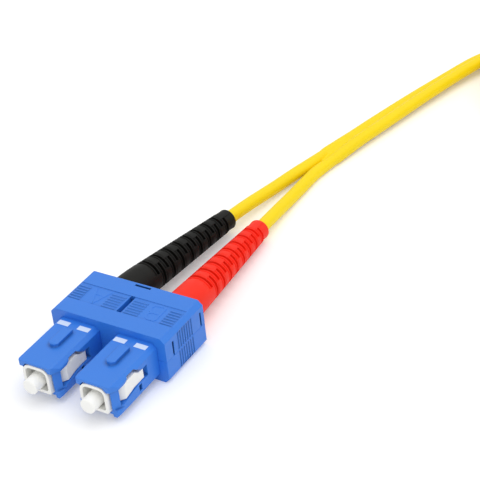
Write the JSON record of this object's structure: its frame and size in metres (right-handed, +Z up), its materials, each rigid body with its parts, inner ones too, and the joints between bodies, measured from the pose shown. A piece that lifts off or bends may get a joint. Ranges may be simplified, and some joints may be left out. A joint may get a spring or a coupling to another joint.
{
  "type": "duplex fibre optic patch cable",
  "caption": "Flat yellow twin fibre lead with square blue push-pull plugs joined in a clip, black and red ribbed boots, white dust caps, and a coiled length that ends in the same connector.",
  "frame": {"origin": "centre of the near clip's flat base, on the surface it lies on", "axes": "+X across the plugs from the black boot to the red boot, +Y along the plugs from the dust caps to the cable, +Z up"},
  "size_m": [0.1101, 0.1842, 0.012],
  "materials": {
    "blue_plastic": "satin moulded",
    "white_plastic": "satin moulded",
    "cap_plastic": "translucent white",
    "ceramic": "polished ceramic",
    "flange_metal": "nickel plated",
    "spring_steel": "drawn wire",
    "crimp_metal": "bare",
    "buffer": "extruded",
    "black_rubber": "matt moulded",
    "red_rubber": "matt moulded",
    "strap_fabric": "woven strap",
    "yellow_jacket": "satin extruded"
  },
  "bodies": {
    "cable": {"plug_frame_a": "white_plastic", "plug_frame_b": "white_plastic", "back_post_a": "flange_metal", "back_post_b": "flange_metal", "crimp_sleeve_a": "crimp_metal", "crimp_sleeve_b": "crimp_metal", "spring_a": "spring_steel", "spring_b": "spring_steel", "boot_a": "black_rubber", "boot_b": "red_rubber", "leg_a": "yellow_jacket", "leg_b": "yellow_jacket", "zipcord": "yellow_jacket", "coil": "yellow_jacket", "tie": "strap_fabric", "far_plug_frame_a": "white_plastic", "far_plug_frame_b": "white_plastic", "far_boot_a": "black_rubber", "far_boot_b": "red_rubber", "far_leg_a": "yellow_jacket", "far_leg_b": "yellow_jacket"},
    "coupling": {"clip_upper": "blue_plastic", "clip_lower": "blue_plastic", "grip_a": "blue_plastic", "grip_b": "blue_plastic"},
    "far_coupling": {"far_clip_upper": "blue_plastic", "far_clip_lower": "blue_plastic", "far_grip_a": "blue_plastic", "far_grip_b": "blue_plastic"},
    "ferrule_set_a": {"ferrule_a": "ceramic", "ferrule_flange_a": "flange_metal", "fibre_a": "buffer"},
    "cap_a": {"dust_cap_a": "cap_plastic"},
    "far_ferrule_set_a": {"far_ferrule_a": "ceramic"},
    "far_cap_a": {"far_dust_cap_a": "cap_plastic"},
    "ferrule_set_b": {"ferrule_b": "ceramic", "ferrule_flange_b": "flange_metal", "fibre_b": "buffer"},
    "cap_b": {"dust_cap_b": "cap_plastic"},
    "far_ferrule_set_b": {"far_ferrule_b": "ceramic"},
    "far_cap_b": {"far_dust_cap_b": "cap_plastic"}
  },
  "joints": [
    {"name": "coupling_slide", "type": "slide", "parent": "cable", "child": "coupling", "axis": [0, -1, 0], "range_m": [0, 0.0008]},
    {"name": "far_coupling_slide", "type": "slide", "parent": "cable", "child": "far_coupling", "axis": [0, -1, 0], "range_m": [0, 0.0008]},
    {"name": "ferrule_a_slide", "type": "slide", "parent": "cable", "child": "ferrule_set_a", "axis": [0, 1, 0], "range_m": [0, 0.001], "stiffness_N_per_m": 1000, "springref_m": -0.008, "deforming": ["spring_a"]},
    {"name": "cap_a_pull", "type": "slide", "parent": "ferrule_set_a", "child": "cap_a", "axis": [0, -1, 0], "range_m": [0, 0.008]},
    {"name": "far_ferrule_a_slide", "type": "slide", "parent": "cable", "child": "far_ferrule_set_a", "axis": [0, 1, 0], "range_m": [0, 0.001], "stiffness_N_per_m": 1000, "springref_m": -0.008},
    {"name": "far_cap_a_pull", "type": "slide", "parent": "far_ferrule_set_a", "child": "far_cap_a", "axis": [0, -1, 0], "range_m": [0, 0.008]},
    {"name": "ferrule_b_slide", "type": "slide", "parent": "cable", "child": "ferrule_set_b", "axis": [0, 1, 0], "range_m": [0, 0.001], "stiffness_N_per_m": 1000, "springref_m": -0.008, "deforming": ["spring_b"]},
    {"name": "cap_b_pull", "type": "slide", "parent": "ferrule_set_b", "child": "cap_b", "axis": [0, -1, 0], "range_m": [0, 0.008]},
    {"name": "far_ferrule_b_slide", "type": "slide", "parent": "cable", "child": "far_ferrule_set_b", "axis": [0, 1, 0], "range_m": [0, 0.001], "stiffness_N_per_m": 1000, "springref_m": -0.008},
    {"name": "far_cap_b_pull", "type": "slide", "parent": "far_ferrule_set_b", "child": "far_cap_b", "axis": [0, -1, 0], "range_m": [0, 0.008]}
  ]
}
